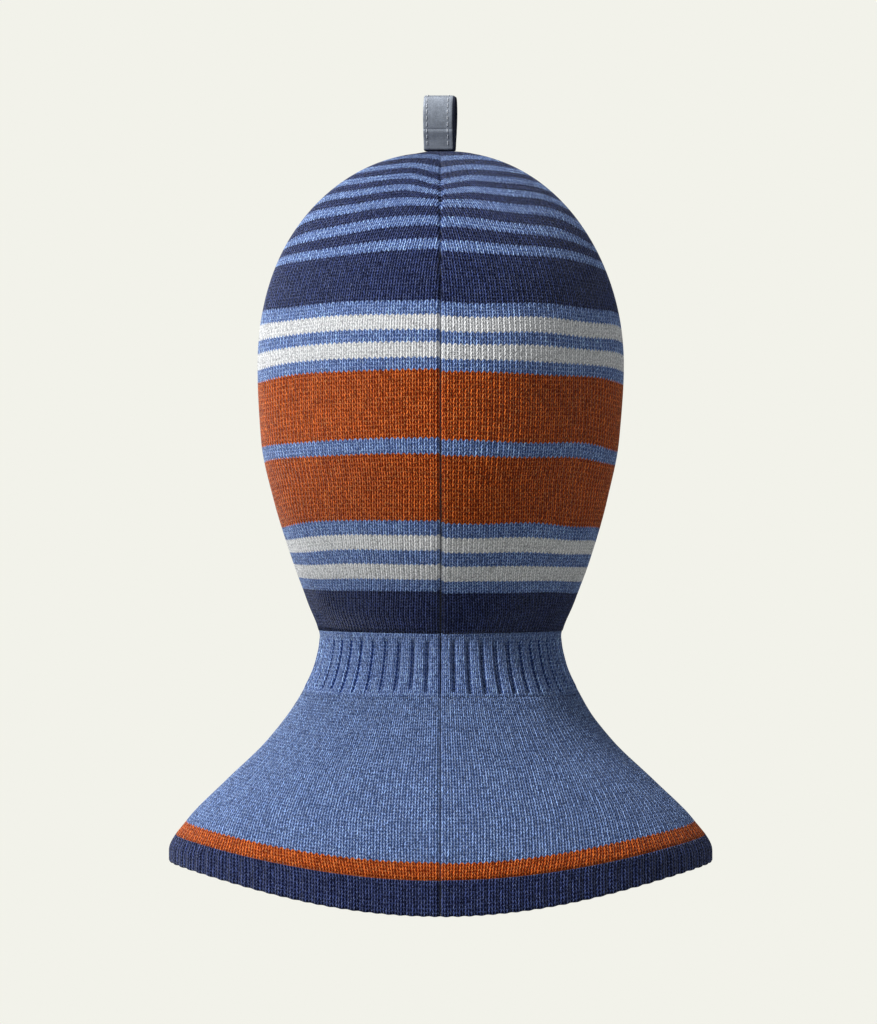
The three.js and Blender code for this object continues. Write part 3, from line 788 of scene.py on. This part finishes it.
def face_band():
    around = np.arange(BAND_RIBS * 6) / (BAND_RIBS * 6)
    turn = 2 * math.pi * around
    edge_turns = np.linspace(0, math.pi / 2, 5)
    edge, edge_depth = 1.2 * (1 - np.cos(edge_turns)), 1.4 * (1 - np.sin(edge_turns))
    across = np.concatenate([edge, np.linspace(2.2, BAND_WIDTH - 2.2, 12), BAND_WIDTH - edge[::-1]])
    rounding = np.concatenate([edge_depth, np.zeros(12), edge_depth[::-1]])
    x = np.sin(turn) * (FACE_HALF_WIDTH + across[:, None])
    z = FACE_HEIGHT + np.cos(turn) * (FACE_HALF_HEIGHT + across[:, None])
    u = np.broadcast_to(around * BAND_RIBS * 2, x.shape)
    rib = 0.5 - 0.5 * np.cos(math.pi * u)
    lift = 0.5 + 0.35 * np.sin(np.clip(across / BAND_WIDTH, 0, 1) * math.pi)[:, None] - 0.95 * (1 - rib)
    v = np.broadcast_to(across[:, None] / 1.7, x.shape)
    outer = front_point(x, z, rounding[:, None] - lift)
    inner = front_point(x, z, KNIT - rounding[:, None] * 0.6 - 0.1 * lift)
    piece = shell("face_band_knit", outer, inner, u, v, wrap=True)
    stand_for(piece, "face_rib_band", navy_wool)
    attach(piece, "hood")


face_band()

# ------------------------------------------------------------------ ear patches and seam allowances


EAR_ANGLE, EAR_SPREAD, EAR_TOP, EAR_BOTTOM = 1.385, 0.365, -98, -165
EAR_CORNER = 0.16  # how far the patch's corners come in


def ear_patch(side, word):
    aside, share = np.meshgrid(np.linspace(-1, 1, 25), np.linspace(0, 1, 25))
    rounded = 1 - EAR_CORNER * np.abs(aside) ** 4 * np.abs(2 * share - 1) ** 4
    angle = EAR_ANGLE + EAR_SPREAD * aside * rounded
    top, bottom = float(station_at(EAR_TOP)), float(station_at(EAR_BOTTOM))
    station = top + (bottom - top) * (0.5 + (share - 0.5) * rounded)
    outer, inner = under(angle, station, PATCH_DEPTH + 0.15), under(angle, station, PATCH_DEPTH + PATCH - 0.1)
    for points in (outer, inner):
        points[..., 0] *= side
    piece = shell(f"ear_patch_{word}", outer, inner)
    stand_for(piece, f"ear_windproof_patch_{word}", membrane)
    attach(piece, "hood")


ear_patch(1, "left")
ear_patch(-1, "right")

SEAM_HALF_WIDTH = 3
SEAM_LOOP = 2.2  # from one of the overlock's loops to the next
SEAM_SCALLOP = 0.7


def seam_allowance(name, node, path, bodies, limits):
    """Two knit edges overlocked together: a flat rib whose sides are scalloped by the thread's loops.
    path gives angle and station along it."""
    angles, stations = path
    middle = under(angles, stations, np.full(len(angles), PATCH_DEPTH))
    arc = np.concatenate([[0], np.cumsum(np.linalg.norm(np.diff(middle, axis=0), axis=1))])
    even = np.linspace(0, arc[-1], int(arc[-1] / 0.45))
    signed = np.interp(even, arc, np.where(angles > 1, stations, -stations))
    angles = np.where(signed > 0, math.pi, 0.0)
    stations = np.abs(signed)
    loops = 0.5 + 0.5 * np.cos(even * 2 * math.pi / SEAM_LOOP)
    across = np.linspace(-1, 1, 9)
    crown = np.sqrt(np.clip(1 - across ** 2, 0, 1)) ** 0.6
    deep = PATCH_DEPTH + 0.1 + (PATCH - 0.25) * (0.35 + 0.65 * crown) * (0.75 + 0.25 * loops)[:, None]
    rows = []
    for depth in (np.full(deep.shape, PATCH_DEPTH + 0.05), deep):
        points = under(angles[:, None] + 0 * deep, stations[:, None] + 0 * deep, depth)
        points[..., 0] = across * (SEAM_HALF_WIDTH - SEAM_SCALLOP * (1 - loops))[:, None]
        rows.append(points)
    u, v = np.broadcast_to(across * 3, deep.shape), np.broadcast_to(even[:, None] / 1.1, deep.shape)
    piece = shell(name, *rows, u, v)
    stand_for(piece, node, navy_thread)
    follow(piece, bodies)


def straight(angle, top, bottom):
    return np.full(60, angle), np.linspace(top, bottom, 60)


over_back = np.linspace(HOOD_END, 0.02, 120)
over_front = np.linspace(0.02, float(station_at(-20)), 40)
over = (np.concatenate([np.zeros(120), np.full(40, math.pi)]), np.concatenate([over_back, over_front]))
seam_allowance("crown_back_allowance", "crown_back_seam", over, *NOD)
chin_top = float(station_at(FACE_HEIGHT - FACE_HALF_HEIGHT - BAND_WIDTH - 1))
seam_allowance("chin_allowance", "chin_seam", straight(math.pi, chin_top, HOOD_END), *NOD)
for angle, word in ((0.0, "back"), (math.pi, "front")):
    seam_allowance(f"neck_{word}_allowance", f"neck_{word}_seam", straight(angle, HOOD_END, NECK_END), *NOD)
    hem_end = float(HEM_END(angle)) - 0.01
    seam_allowance(f"collar_{word}_allowance", f"collar_{word}_seam", straight(angle, NECK_END, hem_end), *TURN)

# ------------------------------------------------------------------ the hanging loop

LOOP_Y = -3
LOOP_PIVOT = TOP + 2.4  # height of the line it folds about
LOOP_RISE = 29.4 - LOOP_PIVOT  # from there to the top of the tapes' line
LOOP_WIDTH, LOOP_LENGTH = 13.5, 54
LOOP_FOOT = 1.5  # radius of the bend at its foot
BACKING_HALF = 0.45  # half the backing's thickness
FILM_NEAR, FILM_FAR = 0.5, 0.78  # the film's two faces, from the middle of the backing
LEG_POINTS = 73
LEGS_END = 2 * LEG_POINTS - 1  # points of the loop's line before its foot
FOOT_POINTS = 12
LOOP_SHEAR = 0.15  # the leg away from the back stands a little to the right
LOOP_LEAN = 0.012  # and so does the loop's top
LOOP_SHIFT = 0.9  # the loop isn't sewn on quite in the middle
FILM_WIDTH, FILM_SHIFT = 12.7, 0.4  # the film lies towards one edge of its backing
FILM_END = 3  # points of the foot that the film leaves bare, on each side of the foot's middle
STITCH_ROWS = 5.2, -3.8  # places of the stitch rows across the loop, left and right
THREAD_RADIUS, STITCH_DEPTH = 0.2, 0.92  # and how far its thread lies from the middle of the backing
DASH, DASH_PITCH = 1.9, 2.75


def loop_path(outside):
    """The loop's line at a distance outside it, from the foot round and back, as Y and Z from the fold line.
    It has a crease across each leg."""
    leg = np.array([(1.5, 0), (2.4, 3.3), (3.45, 6.0), (3.45, 7.2), (3.85, 8.4), (4.5, 12.4), (4.1, 16.6),
                    (2.7, 19.7), (1.2, 20.6), (0, 20.65)])
    leg[:, 1] *= LOOP_RISE / leg[-1, 1]
    t = np.linspace(0, len(leg) - 1, LEG_POINTS)
    i = np.clip(t.astype(int), 0, len(leg) - 2)
    f = (t - i)[:, None]
    padded = np.vstack([leg[0] * 2 - leg[1], leg, [-leg[-2][0], leg[-2][1]]])
    p0, p1, p2, p3 = (padded[i + k] for k in range(4))
    right = 0.5 * (2 * p1 + (p2 - p0) * f + (2 * p0 - 5 * p1 + 4 * p2 - p3) * f ** 2
                   + (3 * p1 - p0 - 3 * p2 + p3) * f ** 3)
    foot_turn = np.linspace(-math.pi, 0, FOOT_POINTS + 2)[1:-1]
    foot = LOOP_FOOT * np.stack([np.cos(foot_turn), np.sin(foot_turn)], -1)
    line = np.vstack([right, right[-2::-1] * [-1, 1], foot])
    ahead = np.roll(line, -1, 0) - np.roll(line, 1, 0)
    ahead /= np.linalg.norm(ahead, axis=1, keepdims=True)
    return line + outside * np.stack([ahead[:, 1], -ahead[:, 0]], -1)


def on_loop(line, x):
    """Points of the loop from its line and places across its width."""
    y, z = line[:, 0, None], line[:, 1, None]
    sideways = x + LOOP_SHIFT + LOOP_SHEAR * (y - 4.5) - LOOP_LEAN * z
    return np.stack(np.broadcast_arrays(sideways, y + LOOP_Y, z + LOOP_PIVOT), -1)


def tape(name, node, material, width, near, far, shift=0.0, wrap=False):
    """A tape along the loop between two distances from its line: whole with wrap, or open at the foot."""
    across = np.linspace(-1, 1, 27)
    edge = np.clip((np.abs(across) - 0.9) / 0.1, 0, 1)
    pinch = 0.35 * (far - near) * edge ** 2
    x = across * width / 2 + shift
    grids = []
    for distance, inset in ((far, -1), (near, 1)):
        lines = [on_loop(loop_path(distance + inset * p), np.array([place])) for p, place in zip(pinch, x)]
        grid = np.concatenate(lines, 1)
        grids.append(grid if wrap else np.roll(grid, FOOT_POINTS // 2, 0)[FILM_END:-FILM_END])
    outer, inner = grids
    if wrap:
        piece = shell(name, outer.transpose(1, 0, 2), inner.transpose(1, 0, 2), wrap=True)
    else:
        piece = shell(name, outer, inner)
    stand_for(piece, node, material)
    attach(piece, "loop")


tape("loop_backing", "loop_backing_tape", backing, LOOP_WIDTH, -BACKING_HALF, BACKING_HALF,
     wrap=True)
tape("loop_reflective", "loop_reflective_tape", reflective, FILM_WIDTH, FILM_NEAR,
     FILM_FAR, FILM_SHIFT)


def stitch_row(name, node, x):
    """Dashes of thread along the reflective tape."""
    line = loop_path(STITCH_DEPTH)[:LEGS_END]
    arc = np.concatenate([[0], np.cumsum(np.linalg.norm(np.diff(line, axis=0), axis=1))])
    parts = []
    start = 0.8
    while start + 2.4 < arc[-1]:
        places = start + np.linspace(0, DASH, 6)
        dash = np.stack([np.interp(places, arc, line[:, 0]), np.interp(places, arc, line[:, 1])], -1)
        points = on_loop(dash, np.array([x]))[:, 0]
        parts.append(tube(points, THREAD_RADIUS, up=(1, 0, 0)))
        start += DASH_PITCH
    piece = gather(name, parts)
    stand_for(piece, node, pale_thread)
    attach(piece, "loop")


stitch_row("loop_stitches_left", "loop_stitch_row_left", STITCH_ROWS[0])
stitch_row("loop_stitches_right", "loop_stitch_row_right", STITCH_ROWS[1])

# ------------------------------------------------------------------ labels

LABEL_TOP, LABEL_LENGTH, LABEL_WIDTH, LABEL_Y = -100, 30, 25, 83.5
LABEL_HALF = 0.12  # half its thickness
WOVEN_TOP, WOVEN_BOTTOM, WOVEN_HALF_ANGLE = -62, -90, 0.2


def care_label():
    across, down = np.meshgrid(np.linspace(-1, 1, 27), np.linspace(0, 1, 31))
    x = across * LABEL_WIDTH / 2 * (1 - 0.02 * (down > 0.97))
    curl = -1.2 * down ** 2 - 0.5 * across ** 2 * down
    z = LABEL_TOP - down * LABEL_LENGTH
    outer = np.stack([x, LABEL_Y + curl + LABEL_HALF, z], -1)
    inner = np.stack([x, LABEL_Y + curl - LABEL_HALF, z], -1)
    piece = shell("care_label_satin", outer, inner)
    stand_for(piece, "care_label", satin)
    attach(piece, "label")


def woven_label():
    across, down = np.meshgrid(np.linspace(-1, 1, 41), np.linspace(0, 1, 25))
    top, bottom = float(station_at(WOVEN_TOP)), float(station_at(WOVEN_BOTTOM))
    station = top + (bottom - top) * down
    rim = np.maximum(np.abs(across), np.abs(2 * down - 1)) ** 8
    grids = []
    inside = LINING_DEPTH + LINING
    for depth in (inside + 0.35 + 0.1 * rim, inside + 0.8 - 0.15 * rim):
        points = under(np.abs(across) * WOVEN_HALF_ANGLE, station, depth)
        points[..., 0] *= np.sign(across)
        grids.append(points)
    piece = shell("woven_label_satin", *grids)
    stand_for(piece, "woven_label", satin)
    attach(piece, "hood")


care_label()
woven_label()

# ------------------------------------------------------------------ stage, light and camera

DISTANCE = 1.8
VIEW_HEIGHT = 0.4454  # metres of the middle plane that the picture is tall
EYE = Vector((0.00087, DISTANCE, -0.1512))

camera_data = bpy.data.cameras.new("camera")
camera_data.sensor_width = 36
camera_data.lens = 36 * DISTANCE / VIEW_HEIGHT
camera_data.clip_start, camera_data.clip_end = 0.05, 50
camera = bpy.data.objects.new("camera", camera_data)
camera.location = EYE
camera.rotation_euler = (math.pi / 2, 0, math.pi)
bpy.context.scene.collection.objects.link(camera)
bpy.context.scene.camera = camera


def lamp(name, place, aim, size, power):
    data = bpy.data.lights.new(name, "AREA")
    data.shape, data.size, data.energy = "SQUARE", size, power
    made = bpy.data.objects.new(name, data)
    made.location = place
    made.rotation_euler = (Vector(aim) - Vector(place)).to_track_quat("-Z", "Y").to_euler()
    bpy.context.scene.collection.objects.link(made)


PALE = linear(0xF2F2EA)
MIDDLE = (0, 0, -0.15)
lamp("key", (1.7, 1.3, 1.4), MIDDLE, 0.9, 80)
lamp("top", (0.4, 0.3, 1.8), MIDDLE, 1.2, 14)
lamp("front_fill", (0.9, -1.9, 0.5), MIDDLE, 1.2, 34)

# The room is evenly pale to the eye, and lights the object more softly than the lamps do.
world = bpy.data.worlds.new("world")
world.use_nodes = True
tree = world.node_tree
seen, room = tree.nodes["Background"], tree.nodes.new("ShaderNodeBackground")
seen.inputs["Color"].default_value, seen.inputs["Strength"].default_value = PALE, 1.0
room.inputs["Color"].default_value, room.inputs["Strength"].default_value = (0.93, 0.96, 1.0, 1), 0.38
ray, choose = tree.nodes.new("ShaderNodeLightPath"), tree.nodes.new("ShaderNodeMixShader")
tree.links.new(ray.outputs["Is Camera Ray"], choose.inputs[0])
tree.links.new(room.outputs[0], choose.inputs[1])
tree.links.new(seen.outputs[0], choose.inputs[2])
tree.links.new(choose.outputs[0], tree.nodes["World Output"].inputs[0])
bpy.context.scene.world = world
bpy.context.scene.view_settings.view_transform = "Standard"

# The floor is far enough below the hanging object to stay under the picture.
FLOOR_Z, FLOOR_REACH = -0.9, 4.2
turns = np.arange(64) * 2 * math.pi / 64
floor_mesh = bpy.data.meshes.new("floor")
floor_mesh.from_pydata([(FLOOR_REACH * math.cos(t), FLOOR_REACH * math.sin(t), FLOOR_Z) for t in turns], [],
                       [tuple(range(64))])
floor = bpy.data.objects.new("floor", floor_mesh)
bpy.context.scene.collection.objects.link(floor)
# To the eye the floor runs on into the room's paleness, and it gives the object little light from below.
pale = Graph("floor_pale")
pale.surface(Base_Color=linear(0xB4B4AE), Roughness=0.9, Specular_IOR_Level=0.0)
glow, ray = pale.node("ShaderNodeEmission"), pale.node("ShaderNodeLightPath")
soft = pale.node("ShaderNodeBsdfDiffuse")
glow.inputs["Color"].default_value, glow.inputs["Strength"].default_value = PALE, 0.92
soft.inputs["Color"].default_value = (0.09, 0.09, 0.09, 1)
looks, choose = pale.node("ShaderNodeAddShader"), pale.node("ShaderNodeMixShader")
pale.feed(looks.inputs[0], glow.outputs[0])
pale.feed(looks.inputs[1], soft.outputs[0])
pale.feed(choose.inputs[0], ray.outputs["Is Camera Ray"])
pale.feed(choose.inputs[1], pale.shader.outputs[0])
pale.feed(choose.inputs[2], looks.outputs[0])
pale.feed(pale.tree.nodes["Material Output"].inputs[0], choose.outputs[0])
floor_mesh.materials.append(pale.material)
